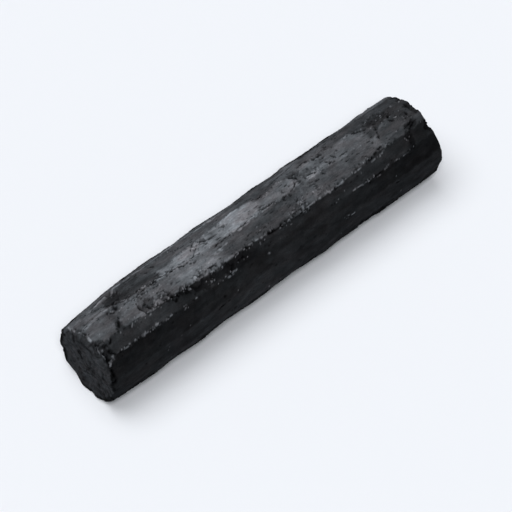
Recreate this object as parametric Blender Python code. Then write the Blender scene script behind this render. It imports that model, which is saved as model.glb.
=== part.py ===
"""A chunky stick of drawing charcoal: one charred length of wood, lying on its flattest side.

Metres, +Z up. The stick runs along X and its near end is at -X. The origin is on the floor,
under the middle of the stick. Around the stick, angles are in degrees from straight up,
towards the front (-Y). Along it, places are in millimetres from the near end.
"""

import math

import bmesh
import bpy
from mathutils import Matrix, Vector, noise

MM = 0.001
FULL_TURN = 360.0

LENGTH = 77.0  # mm, end to end
RADIUS = 8.25  # mm, half of the mean thickness
FLAT_BELOW_AXIS = 7.6  # mm, from the axis down to the face that the stick rests on
NEAR_SHOULDER = 0.5  # mm, how far the near end's rim is rounded
FAR_SHOULDER = 1.0  # mm, the far end is worn rounder

UPPER_COLUMN = 3.7  # degrees between columns of points where the stick is seen
LOWER_COLUMN = 7.0  # degrees, underneath
UNDERNEATH = 125.0  # degrees from straight up
RING_SPACING = 1.45  # mm, along the body
SHOULDER_RINGS = 3
CAP_RINGS = 5

EDGE_ROUNDING = 0.12  # 0 keeps flat faces between the long edges, 1 makes them one round surface
FRONT_ROUNDING = 0.55  # the front side is worn smoother
FRONT_SIDE = 95.0  # degrees, the middle of the front side
FRONT_REACH = 50.0  # degrees to either side of it

SWELL = 0.06  # mm, slow unevenness of the whole stick
SWELL_SIZE = (14.0, 7.0)  # mm, along and across
GRAIN = 0.09  # mm, unevenness of the split faces, drawn out along the wood
GRAIN_SIZE = (5.0, 1.6)
PLATE_STEP = 0.14  # mm, plates of char stand this high above where others have flaked away
PLATE_SIZE = (8.5, 3.2)
PLATE_EDGE = 0.12  # how soft the step at a plate's edge is
END_RELIEF = 0.55  # mm, unevenness of the two end faces and their rims
END_RELIEF_SIZE = 2.8  # mm
END_RELIEF_REACH = 2.5  # mm, how far in from the rim the side follows it

CHAR_COLOUR = (0.022, 0.023, 0.025, 1.0)
CHAR_ROUGHNESS = 0.55
CHAR_METALLIC = 0.0
CRISP_ANGLE = 32.0  # degrees, edges bent further than this are shaded sharp

# The stick's long edges, from under its back, over the top, to under its front. Each is traced
# from the near end to the far end: mm along, degrees round, mm from the axis.
EDGES = {
    "back_foot": ((0, -160, 8.0), (30.4, -162, 8.3), (77, -159, 8.2)),
    "back_low": ((0, -131, 7.7), (6.4, -132, 8.2), (22.4, -134, 8.45), (50.4, -130, 8.25), (77, -133, 8.2)),
    "back_middle": (
        (0, -98, 7.3), (5.4, -98, 7.9), (14.4, -101, 8.35), (34.4, -97, 8.3), (58.4, -102, 8.45), (77, -99, 8.1),
    ),
    "back_high": (
        (0, -64, 7.1), (2.4, -64, 7.4), (6.4, -65, 7.75), (10.9, -64, 8.42), (18.4, -63, 8.6),
        (26.2, -65, 8.32), (30.9, -64, 8.55), (35.4, -64, 8.36), (39.8, -63, 8.25), (44.4, -64, 8.43),
        (49, -65, 8.26), (51.4, -64, 8.4), (57.4, -64, 8.32), (65.4, -63, 8.08), (69.4, -64, 8.18),
        (73.4, -63, 7.98), (77, -63, 7.95),
    ),
    "back_brow": (
        (0, -40, 7.6), (3.9, -41, 7.85), (8.4, -41, 8.05), (11.4, -42, 8.35), (25.4, -44, 8.45),
        (36.4, -42, 8.4), (62.4, -41, 8.25), (77, -40, 8.1),
    ),
    "back_crest": (
        (0, -25, 7.8), (8.4, -26, 8.0), (15.4, -24, 8.05), (19.9, -16, 8.3), (24.4, -20, 8.4),
        (28.4, -22, 8.45), (35.4, -26, 8.5), (39.4, -26, 8.45), (42.4, -19, 8.4), (46.9, -23, 8.45),
        (49.9, -19, 8.35), (51.9, -26, 8.4), (54.9, -25, 8.4), (56.4, -20, 8.3), (63.4, -22, 8.3),
        (66.4, -16, 8.2), (70.4, -20, 8.1), (77, -20, 8.0),
    ),
    "crest": (
        (0, -10, 8.1), (3.9, -12, 8.3), (8.4, -14, 8.35), (10.9, -9, 8.35), (15.4, -9, 8.35),
        (20.9, -5, 8.35), (23.4, -3, 8.3), (30.9, -1, 8.35), (42.4, -1, 8.3), (46.4, 1, 8.15),
        (49.9, -3, 7.95), (52.4, -1, 7.75), (58.4, 1, 7.65), (66.4, 1, 7.7), (68.9, 0, 8.0),
        (77, -2, 7.9),
    ),
    "brow": (
        (0, 18, 8.3), (6.9, 18, 8.4), (12.4, 20, 8.35), (17.9, 21, 8.3), (23.4, 23, 8.35),
        (26.9, 25, 8.45), (34.4, 24, 8.5), (38.9, 26, 8.5), (45.9, 28, 8.5), (56.4, 27, 8.45),
        (60.9, 25, 8.45), (64.9, 22, 8.4), (77, 23, 8.2),
    ),
    "cheek": (
        (0, 41, 8.35), (4.4, 39.5, 8.45), (17.9, 39, 8.4), (23.4, 40, 8.2), (28.4, 41, 8.0),
        (46.4, 42, 7.97), (52.4, 43, 8.2), (57.4, 44, 8.4), (63.1, 45.5, 8.45), (70.9, 43, 8.45),
        (77, 43, 8.25),
    ),
    "front_high": (
        (0, 66, 8.1), (3.4, 67, 8.35), (20.4, 68, 8.4), (34.4, 65, 8.4), (42.4, 65, 8.4), (60.4, 69, 8.4),
        (77, 67, 8.25),
    ),
    "front_middle": (
        (0, 92, 7.95), (3.4, 92, 8.25), (18.4, 91, 8.3), (40.4, 93, 8.25), (60.4, 91, 8.3), (77, 92, 8.2),
    ),
    "front_low": (
        (0, 117, 7.95), (2.4, 117, 8.15), (8.4, 117, 8.24), (12.9, 117, 8.0), (20.4, 117, 8.3),
        (26.2, 118, 8.05), (32.9, 117, 8.27), (41.4, 117, 8.1), (50.4, 116, 8.28), (60.4, 117, 8.3),
        (71.9, 117, 8.42), (77, 117, 8.3),
    ),
    "front_under": ((0, 140, 8.0), (3.4, 140, 8.2), (38.4, 138, 8.3), (77, 141, 8.25)),
    "front_foot": ((0, 161, 8.0), (35.4, 160, 8.2), (77, 161, 8.2)),
}

# Flakes that have broken out of the sides and rims: mm along, degrees round, half length and
# half width in mm, depth in mm.
FLAKES = {
    "near_rim_recess": (1.3, 30, 1.7, 1.9, 0.8),
    "near_rim_notch": (1.7, 15, 1.1, 0.7, 0.7),
    "near_rim_top": (0.0, -12, 1.1, 2.6, 0.35),
    "near_rim_front": (0.0, 70, 0.9, 2.2, 0.3),
    "near_rim_behind": (0.0, -118, 1.2, 2.4, 0.5),
    "near_rim_foot": (0.0, 166, 1.0, 0.8, 0.5),
    "back_hollow": (9.6, -31, 1.9, 1.9, 0.4),
    "back_brow_notch": (10.5, -42, 1.3, 0.8, 0.5),
    "pit_across": (7.0, 12, 0.9, 1.2, 0.25),
    "crest_gap": (13.3, 12, 1.6, 1.0, 0.45),
    "brow_bite": (17.0, 20, 1.4, 0.9, 0.45),
    "brow_gap": (20.2, 23, 1.6, 0.9, 0.45),
    "brow_crumble": (26.4, 33, 5.5, 1.0, 0.35),
    "crest_v_notch": (50.2, -20, 1.2, 1.1, 0.45),
    "crest_chip": (52.4, -14, 1.6, 0.8, 0.25),
    "far_crumble": (69.4, -17, 2.8, 1.8, 0.3),
    "far_step": (71.7, 34, 0.9, 1.3, 0.25),
    "far_rim_bite": (73.6, 18, 1.2, 0.8, 0.5),
    "far_rim_notch": (76.4, 32, 1.1, 1.0, 0.5),
    "far_rim_top": (76.6, -3, 1.2, 1.6, 0.5),
    "far_rim_back": (77.0, -36, 1.7, 2.2, 0.5),
    "far_rim_behind": (76.6, -118, 1.6, 2.0, 0.6),
    "back_flake": (30.4, -86, 5.5, 2.0, 0.35),
    "back_long_flake": (54.4, -115, 9.0, 1.7, 0.35),
    "back_low_bite": (17.4, -133, 2.0, 1.3, 0.5),
    "back_edge_bite": (43.4, -99, 1.8, 1.1, 0.5),
    "front_flake": (60.4, 108, 4.5, 1.8, 0.2),
}
FLAKE_WALL = 0.4  # share of a flake's half width over which its wall slopes
FLAKE_WOBBLE = 0.25  # how far a flake's outline wanders, as a share of its size
FLAKE_WOBBLE_SIZE = 1.3  # mm


def smooth(t):
    """Eases t from 0 to 1."""
    t = min(max(t, 0.0), 1.0)
    return t * t * (3.0 - 2.0 * t)


def mix(low, high, t):
    return low + (high - low) * t


def wave(where, size):
    """Noise drawn out along the stick. size holds the lengths of a wave along and across it, in mm."""
    along, across = size
    return noise.noise(Vector((where.x / along, where.y / across, where.z / across)))


def traced(trace, place):
    """Degrees round and mm from the axis of a long edge, at this place along the stick."""
    for (p0, a0, r0), (p1, a1, r1) in zip(trace, trace[1:]):
        if place <= p1:
            t = (place - p0) / (p1 - p0)
            return mix(a0, a1, t), mix(r0, r1, t)
    return trace[-1][1:]


def corners_at(place):
    """The corners of the stick's many-sided section, closed with the first one again."""
    corners = [traced(trace, place) for trace in EDGES.values()]
    first_angle, first_radius = corners[0]
    return corners + [(first_angle + FULL_TURN, first_radius)]


def face_radius(start, end, angle):
    """Distance in mm from the axis to the face between two corners, before any wear."""
    (a0, r0), (a1, r1) = start, end
    across = r0 * math.sin(math.radians(angle - a0)) + r1 * math.sin(math.radians(a1 - angle))
    flat = r0 * r1 * math.sin(math.radians(a1 - a0)) / across
    rounded = mix(r0, r1, (angle - a0) / (a1 - a0))
    from_front = abs(angle - FRONT_SIDE) / FRONT_REACH
    return mix(flat, rounded, mix(FRONT_ROUNDING, EDGE_ROUNDING, smooth(from_front)))


def point_at(place, angle, radius):
    """A point in mm, with the stick's axis on X and its near end at zero."""
    turn = math.radians(angle)
    return Vector((place, -radius * math.sin(turn), radius * math.cos(turn)))


def flake_depth(place, angle, where):
    """How far in mm the flakes cut in here. where is the point on the surface, for the wobble."""
    wobble = FLAKE_WOBBLE * noise.noise(where / FLAKE_WOBBLE_SIZE)
    depth = 0.0
    for centre, centre_angle, half_length, half_width, deepest in FLAKES.values():
        turned = (angle - centre_angle + FULL_TURN / 2) % FULL_TURN - FULL_TURN / 2
        away = math.hypot((place - centre) / half_length, math.radians(turned) * RADIUS / half_width)
        depth = max(depth, deepest * smooth((1.0 - away + wobble) / FLAKE_WALL))
    return depth


def shoulder_cut(place):
    """How far in mm the rounded rim of an end lies inside the side of the stick."""
    for shoulder, inwards in ((NEAR_SHOULDER, place), (FAR_SHOULDER, LENGTH - place)):
        if inwards < shoulder:
            return shoulder - math.sqrt(shoulder**2 - (shoulder - inwards) ** 2)
    return 0.0


def end_shift(place, point):
    """How far along X in mm the unevenness of the nearer end moves a point of the surface."""
    inwards = min(place, LENGTH - place)
    level = 0.5 + noise.noise(point / END_RELIEF_SIZE)
    sunk = END_RELIEF * min(max(level, 0.0), 1.0) * max(1.0 - inwards / END_RELIEF_REACH, 0.0)
    return sunk if place < LENGTH / 2 else -sunk


def side_point(place, face, share):
    """A point on the side: this share of the way across a face, counted from under the back."""
    start, end = corners_at(place)[face : face + 2]
    angle = mix(start[0], end[0], share)
    radius = face_radius(start, end, angle)
    where = point_at(place, angle, radius)
    radius += SWELL * wave(where, SWELL_SIZE)
    radius += GRAIN * wave(where, GRAIN_SIZE)
    radius += PLATE_STEP * (smooth(0.5 + wave(where, PLATE_SIZE) / PLATE_EDGE) - 0.5)
    radius -= flake_depth(place, angle, where) + shoulder_cut(place)
    point = point_at(place, angle, radius)
    point.z = max(point.z, -FLAT_BELOW_AXIS)
    return point


def surface_point(place, face, share, reach):
    """A point of the surface: reach is 1 on the side, and falls to 0 in the middle of an end face."""
    side = side_point(place, face, share)
    point = Vector((place, side.y * reach, side.z * reach))
    point.x += end_shift(place, point)
    return point


def columns_per_face():
    """How many columns of points each long face has."""
    middle = corners_at(LENGTH / 2)
    counts = []
    for (start, _), (end, _) in zip(middle, middle[1:]):
        below = abs(start + end) / 2 > UNDERNEATH
        counts.append(max(3, round((end - start) / (LOWER_COLUMN if below else UPPER_COLUMN))))
    return counts


def ring_places():
    """Places of the rings of points along the side: close together on the rounded rims."""
    turns = [math.pi / 2 * k / SHOULDER_RINGS for k in range(SHOULDER_RINGS + 1)]
    near = [NEAR_SHOULDER * (1.0 - math.cos(turn)) for turn in turns]
    far = [LENGTH - FAR_SHOULDER * (1.0 - math.cos(turn)) for turn in reversed(turns)]
    body = far[0] - near[-1]
    count = round(body / RING_SPACING)
    return near + [near[-1] + body * k / count for k in range(1, count)] + far


def cylinder(columns, rings):
    """A cylinder of radius 1 and length 1 along X, cut into columns and rings, ends included."""
    bm = bmesh.new()
    along_x = Matrix.Rotation(math.radians(90), 4, "Y")
    bmesh.ops.create_cone(bm, cap_ends=True, segments=columns, radius1=1, radius2=1, depth=1, matrix=along_x)
    caps = [face for face in bm.faces if len(face.verts) == columns]
    lengthwise = [edge for edge in bm.edges if abs(edge.verts[0].co.x - edge.verts[1].co.x) > 0.5]
    bmesh.ops.subdivide_edges(bm, edges=lengthwise, cuts=rings - 2, use_grid_fill=True)
    apothem = math.cos(math.pi / columns)
    for _ in range(CAP_RINGS - 1):
        bmesh.ops.inset_individual(bm, faces=caps, thickness=apothem / CAP_RINGS, use_even_offset=True)
    bmesh.ops.poke(bm, faces=caps)
    return bm


def stick_mesh():
    """The cylinder with each of its points moved to where the stick's surface is."""
    counts = columns_per_face()
    spots = [(face, column / count) for face, count in enumerate(counts) for column in range(count)]
    places = ring_places()
    bm = cylinder(len(spots), len(places))
    for vert in bm.verts:
        ring = round((vert.co.x + 0.5) * (len(places) - 1))
        turn = math.atan2(-vert.co.y, vert.co.z) % math.tau
        face, share = spots[round(turn / math.tau * len(spots)) % len(spots)]
        reach = math.hypot(vert.co.y, vert.co.z)
        vert.co = surface_point(places[ring], face, share, reach)
    rest_in_place(bm)
    mesh = bpy.data.meshes.new("charcoal_stick")
    bm.to_mesh(mesh)
    bm.free()
    mesh.shade_smooth()
    mesh.set_sharp_from_angle(angle=math.radians(CRISP_ANGLE))
    return mesh


def rest_in_place(bm):
    """Turns millimetres into metres and puts the origin on the floor under the stick's middle."""
    lows = [min(vert.co[axis] for vert in bm.verts) for axis in range(3)]
    highs = [max(vert.co[axis] for vert in bm.verts) for axis in range(3)]
    origin = Vector(((lows[0] + highs[0]) / 2, (lows[1] + highs[1]) / 2, lows[2]))
    for vert in bm.verts:
        vert.co = (vert.co - origin) * MM


def char_material():
    material = bpy.data.materials.new("char")
    material.use_nodes = True
    shader = material.node_tree.nodes["Principled BSDF"]
    shader.inputs["Base Color"].default_value = CHAR_COLOUR
    shader.inputs["Roughness"].default_value = CHAR_ROUGHNESS
    shader.inputs["Metallic"].default_value = CHAR_METALLIC
    return material


for old in list(bpy.data.objects):
    bpy.data.objects.remove(old)

collection = bpy.data.collections.new("drawing_charcoal")
bpy.context.scene.collection.children.link(collection)

stick = bpy.data.objects.new("charcoal_stick", stick_mesh())
stick.data.materials.append(char_material())
collection.objects.link(stick)
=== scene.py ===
"""The look of a chunky stick of drawing charcoal: its fine surface, light, floor and camera.

Around the stick, angles are in degrees from straight up, towards the front (-Y). Along it,
places are in millimetres from the near end. Lengths of the surface are in millimetres until
it is put in place.
"""

import math
from functools import lru_cache

import bmesh
import bpy
from mathutils import Matrix, Vector, noise


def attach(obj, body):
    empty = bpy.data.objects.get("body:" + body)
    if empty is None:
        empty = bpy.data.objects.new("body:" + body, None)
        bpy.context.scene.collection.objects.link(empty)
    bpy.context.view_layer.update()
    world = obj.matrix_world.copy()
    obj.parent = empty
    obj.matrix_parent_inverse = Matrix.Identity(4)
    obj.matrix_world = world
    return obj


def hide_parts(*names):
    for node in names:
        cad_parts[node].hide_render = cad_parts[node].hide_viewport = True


MM = 0.001
FULL_TURN = 360.0

# The main form of the stick, which its solid has too
LENGTH = 77.0
RADIUS = 8.25
FLAT_BELOW_AXIS = 7.6  # the flat that the stick lies on
NEAR_SHOULDER = 0.5  # the rounding of each end's rim
FAR_SHOULDER = 1.0
EDGE_ROUNDING = 0.12  # 0 keeps flat faces between the long edges, 1 makes them one round surface
FRONT_ROUNDING = 0.55
FRONT_SIDE = 95.0  # degrees, the middle of the smoother front side
FRONT_REACH = 50.0
SWELL = 0.06
SWELL_SIZE = (14.0, 7.0)  # along and across
GRAIN = 0.09
GRAIN_SIZE = (5.0, 1.6)
PLATE_STEP = 0.14
PLATE_SIZE = (8.5, 3.2)
END_RELIEF = 0.55
END_RELIEF_SIZE = 2.8
END_RELIEF_REACH = 2.5
FLAKE_WOBBLE = 0.25
FLAKE_WOBBLE_SIZE = 1.3

# Traces of the long edges: place, degrees round, distance from the axis
EDGES = {
    "back_foot": ((0, -160, 8.0), (30.4, -162, 8.3), (77, -159, 8.2)),
    "back_low": ((0, -131, 7.7), (6.4, -132, 8.2), (22.4, -134, 8.45), (50.4, -130, 8.25), (77, -133, 8.2)),
    "back_middle": (
        (0, -98, 7.3), (5.4, -98, 7.9), (14.4, -101, 8.35), (34.4, -97, 8.3), (58.4, -102, 8.45),
        (77, -99, 8.1),
    ),
    "back_high": (
        (0, -64, 7.1), (2.4, -64, 7.4), (6.4, -65, 7.75), (10.9, -64, 8.42), (18.4, -63, 8.6),
        (26.2, -65, 8.32), (30.9, -64, 8.55), (35.4, -64, 8.36), (39.8, -63, 8.25), (44.4, -64, 8.43),
        (49, -65, 8.26), (51.4, -64, 8.4), (57.4, -64, 8.32), (65.4, -63, 8.08), (69.4, -64, 8.18),
        (73.4, -63, 7.98), (77, -63, 7.95),
    ),
    "back_brow": (
        (0, -40, 7.6), (3.9, -41, 7.85), (8.4, -41, 8.05), (11.4, -42, 8.35), (25.4, -44, 8.45),
        (36.4, -42, 8.4), (62.4, -41, 8.25), (77, -40, 8.1),
    ),
    "back_crest": (
        (0, -25, 7.8), (8.4, -26, 8.0), (15.4, -24, 8.05), (19.9, -16, 8.3), (24.4, -20, 8.4),
        (28.4, -22, 8.45), (35.4, -26, 8.5), (39.4, -26, 8.45), (42.4, -19, 8.4), (46.9, -23, 8.45),
        (49.9, -19, 8.35), (51.9, -26, 8.4), (54.9, -25, 8.4), (56.4, -20, 8.3), (63.4, -22, 8.3),
        (66.4, -16, 8.2), (70.4, -20, 8.1), (77, -20, 8.0),
    ),
    "crest": (
        (0, -10, 8.1), (3.9, -12, 8.3), (8.4, -14, 8.35), (10.9, -9, 8.35), (15.4, -9, 8.35),
        (20.9, -5, 8.35), (23.4, -3, 8.3), (30.9, -1, 8.35), (42.4, -1, 8.3), (46.4, 1, 8.15),
        (49.9, -3, 7.95), (52.4, -1, 7.75), (58.4, 1, 7.65), (66.4, 1, 7.7), (68.9, 0, 8.0),
        (77, -2, 7.9),
    ),
    "brow": (
        (0, 18, 8.3), (6.9, 18, 8.4), (12.4, 20, 8.35), (17.9, 21, 8.3), (23.4, 23, 8.35),
        (26.9, 25, 8.45), (34.4, 24, 8.5), (38.9, 26, 8.5), (45.9, 28, 8.5), (56.4, 27, 8.45),
        (60.9, 25, 8.45), (64.9, 22, 8.4), (77, 23, 8.2),
    ),
    "cheek": (
        (0, 41, 8.35), (4.4, 39.5, 8.45), (17.9, 39, 8.4), (23.4, 40, 8.2), (28.4, 41, 8.0),
        (46.4, 42, 7.97), (52.4, 43, 8.2), (57.4, 44, 8.4), (63.1, 45.5, 8.45), (70.9, 43, 8.45),
        (77, 43, 8.25),
    ),
    "front_high": (
        (0, 66, 8.1), (3.4, 67, 8.35), (20.4, 68, 8.4), (34.4, 65, 8.4), (42.4, 65, 8.4), (60.4, 69, 8.4),
        (77, 67, 8.25),
    ),
    "front_middle": (
        (0, 92, 7.95), (3.4, 92, 8.25), (18.4, 91, 8.3), (40.4, 93, 8.25), (60.4, 91, 8.3), (77, 92, 8.2),
    ),
    "front_low": (
        (0, 117, 7.95), (2.4, 117, 8.15), (8.4, 117, 8.24), (12.9, 117, 8.0), (20.4, 117, 8.3),
        (26.2, 118, 8.05), (32.9, 117, 8.27), (41.4, 117, 8.1), (50.4, 116, 8.28), (60.4, 117, 8.3),
        (71.9, 117, 8.42), (77, 117, 8.3),
    ),
    "front_under": ((0, 140, 8.0), (3.4, 140, 8.2), (38.4, 138, 8.3), (77, 141, 8.25)),
    "front_foot": ((0, 161, 8.0), (35.4, 160, 8.2), (77, 161, 8.2)),
}

# Flakes broken out of the sides and rims: place, degrees round, half length, half width, depth
FLAKES = {
    "near_rim_recess": (1.3, 30, 1.7, 1.9, 0.8),
    "near_rim_notch": (1.7, 15, 1.1, 0.7, 0.7),
    "near_rim_top": (0.0, -12, 1.1, 2.6, 0.35),
    "near_rim_front": (0.0, 70, 0.9, 2.2, 0.3),
    "near_rim_behind": (0.0, -118, 1.2, 2.4, 0.5),
    "near_rim_foot": (0.0, 166, 1.0, 0.8, 0.5),
    "back_hollow": (9.6, -31, 1.9, 1.9, 0.4),
    "back_brow_notch": (10.5, -42, 1.3, 0.8, 0.5),
    "pit_across": (7.0, 12, 0.9, 1.2, 0.25),
    "crest_gap": (13.3, 12, 1.6, 1.0, 0.45),
    "brow_bite": (17.0, 20, 1.4, 0.9, 0.45),
    "brow_gap": (20.2, 23, 1.6, 0.9, 0.45),
    "brow_crumble": (26.4, 33, 5.5, 1.0, 0.35),
    "crest_v_notch": (50.2, -20, 1.2, 1.1, 0.45),
    "crest_chip": (52.4, -14, 1.6, 0.8, 0.25),
    "far_crumble": (69.4, -17, 2.8, 1.8, 0.3),
    "far_step": (71.7, 34, 0.9, 1.3, 0.25),
    "far_rim_bite": (73.6, 18, 1.2, 0.8, 0.5),
    "far_rim_notch": (76.4, 32, 1.1, 1.0, 0.5),
    "far_rim_top": (76.6, -3, 1.2, 1.6, 0.5),
    "far_rim_back": (77.0, -36, 1.7, 2.2, 0.5),
    "far_rim_behind": (76.6, -118, 1.6, 2.0, 0.6),
    "back_flake": (30.4, -86, 5.5, 2.0, 0.35),
    "back_long_flake": (54.4, -115, 9.0, 1.7, 0.35),
    "back_low_bite": (17.4, -133, 2.0, 1.3, 0.5),
    "back_edge_bite": (43.4, -99, 1.8, 1.1, 0.5),
    "front_flake": (60.4, 108, 4.5, 1.8, 0.2),
}

# The fine surface
UPPER_COLUMN = 1.15  # degrees between columns of points
LOWER_COLUMN = 2.8
HIDDEN_FROM = (-72.0, 122.0)  # degrees, where the wider spacing starts on either side
RING_SPACING = 0.205
SHOULDER_RINGS = 7
CAP_RINGS = 28
RIM_TOLERANCE = 1e-5  # how far inside the rim a point still counts as on it
FEWEST_COLUMNS = 3  # on one long face
END_RELIEF_LEVEL = 0.3  # how far the ends are sunk on the whole, as a share of their relief
FLAKE_MARGIN = 1.8  # how far a flake's ragged outline can reach, in half lengths
FLAKE_WALL = 0.3  # share of a flake's half width over which its wall slopes
FLAKE_RAGGED = 0.65  # unevenness of a flake's outline
FLAKE_RAGGED_SIZE = 0.7
PLATE_EDGE = 0.05  # how soft the step at a plate's edge is
SCALE_STEP = 0.05  # smaller plates on the plates
SCALE_SIZE = (3.2, 1.1)
SCALE_EDGE = 0.06
FIBRE = 0.011  # the wood's fibres
FIBRE_SIZE = (2.2, 0.42)
ROUGHNESS = 0.05  # unevenness in every direction
ROUGHNESS_SIZE = 0.45

# How crumbled each long edge is: how far from the edge the crumbs reach, then place and amount
CRUMBLED = {
    "back_brow": (0.2, ((0, 0.3), (9, 0.5), (11, 0.2), (77, 0.35))),
    "back_crest": (
        0.3,
        ((0, 0), (19, 0.1), (24, 0.5), (40, 0.4), (49, 0.7), (56, 0.5), (66, 0.6), (77, 0.7)),
    ),
    "crest": (
        0.45,
        ((0, 0.3), (8, 0.4), (9.5, 1.1), (16, 1.15), (20, 0.9), (25, 0.6), (30, 0.4), (42, 0.6), (50, 0.5),
         (53, 0.1), (77, 0.3)),
    ),
    "brow": (
        0.5,
        ((0, 0.3), (7, 0.4), (9, 0.8), (17, 0.7), (20, 1.0), (28, 1.15), (31, 0.7), (40, 0.8), (43, 1.15),
         (52, 1.0), (55, 0.6), (66, 0.5), (77, 0.5)),
    ),
    "cheek": (
        0.28,
        ((0, 0.2), (4, 0.6), (5, 1.15), (12.6, 1.25), (13.2, 0.3), (17.6, 0.4), (18.4, 0.9), (19.4, 0.5),
         (27, 0.5), (33, 0.3), (36, 0.15), (50, 0.2), (53, 0.4), (57, 0.6), (70, 0.65), (71.5, 0.3),
         (77, 0.3)),
    ),
    "front_middle": (0.6, ((0, 0.1), (77, 0.2))),
    "front_low": (0.4, ((0, 0.4), (77, 0.5))),
}
WHOLE_EDGE = (1.0, ((0, 0), (LENGTH, 0)))
# Patches of crumbs away from the edges: place, degrees round, half length, half width, amount
CRUMB_PATCHES = (
    (8.3, 23, 0.9, 0.5, 0.8),
    (10.0, -38, 1.6, 1.2, 0.5),
    (7.2, -8, 0.9, 0.5, 0.8),
    (13.3, -3, 3.5, 0.8, 0.8),
    (14.2, 17, 1.2, 0.6, 0.9),
    (16.3, 13, 1.2, 1.0, 0.6),
    (18.6, 42, 0.8, 0.5, 1.1),
    (20.5, 26, 1.5, 0.8, 0.8),
    (22.3, 40, 2.0, 0.5, 0.6),
    (25.6, 34, 1.6, 1.0, 0.75),
    (24.0, 17, 4.0, 0.9, 0.7),
    (27.0, -14, 1.8, 1.2, 0.6),
    (29.4, 40, 2.2, 0.6, 0.6),
    (31.0, 36, 1.5, 0.6, 0.65),
    (37.0, 30, 1.0, 0.4, 0.8),
    (38.5, 20, 2.5, 0.7, 0.6),
    (47.5, 19, 4.5, 1.4, 0.8),
    (47.0, 27, 4.0, 0.9, 0.9),
    (54.0, -8, 3.0, 2.5, 0.45),
    (52.7, 45, 0.8, 0.4, 0.8),
    (54.6, 69, 1.2, 0.5, 0.45),
    (69.5, -15, 3.0, 1.6, 0.6),
    (73.5, 5, 1.5, 2.0, 0.5),
    (72.0, 27, 1.6, 1.0, 0.6),
)
CRUMB_PATCH_MARGIN = 2.5  # how far a patch's crumbs reach, in half lengths
CRUMB_SIZE = (0.35, 0.24)
CRUMB_EDGE = 0.13
CRUMB_SHARE = 0.12  # noise level above which a fully crumbled place has crumbs
PIT_SHARE = 0.06  # the same for pits
CRUMB_THINNING = 0.6  # how much higher those levels are where nothing is crumbled
CRUMB_GATHERING = 1.3  # how unevenly crumbs are spread
CRUMB_GATHERING_SIZE = 0.9
CRUMB_WANDER = 0.25
CRUMB_WANDER_SIZE = 2.0
CRUMB_HEIGHT = 0.07
PIT_DEPTH = 0.13
# Pits and pores are darkened by this share as painted shade.
PIT_PAINTED_SHADE = 0.66
# Crumbs and ridges are lighter by these tones, partly as wear and partly as a painted highlight.
WEAR_AND_HIGHLIGHT_TONES = (0.035, 0.125)  # of crumbs and ridges, besides their face's own
WEAR_AND_HIGHLIGHT_SIZE = 0.6
# Pores: longer pits in the flat faces
PORE_SIZE = (0.75, 0.3)
PORE_AMOUNT = 0.36
PORE_GATHERING = 3.0
PORE_GATHERING_SIZE = 2.5
OPEN_TONE = 0.06  # the darkest tone at which a face has all its pores and light fibres

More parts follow.
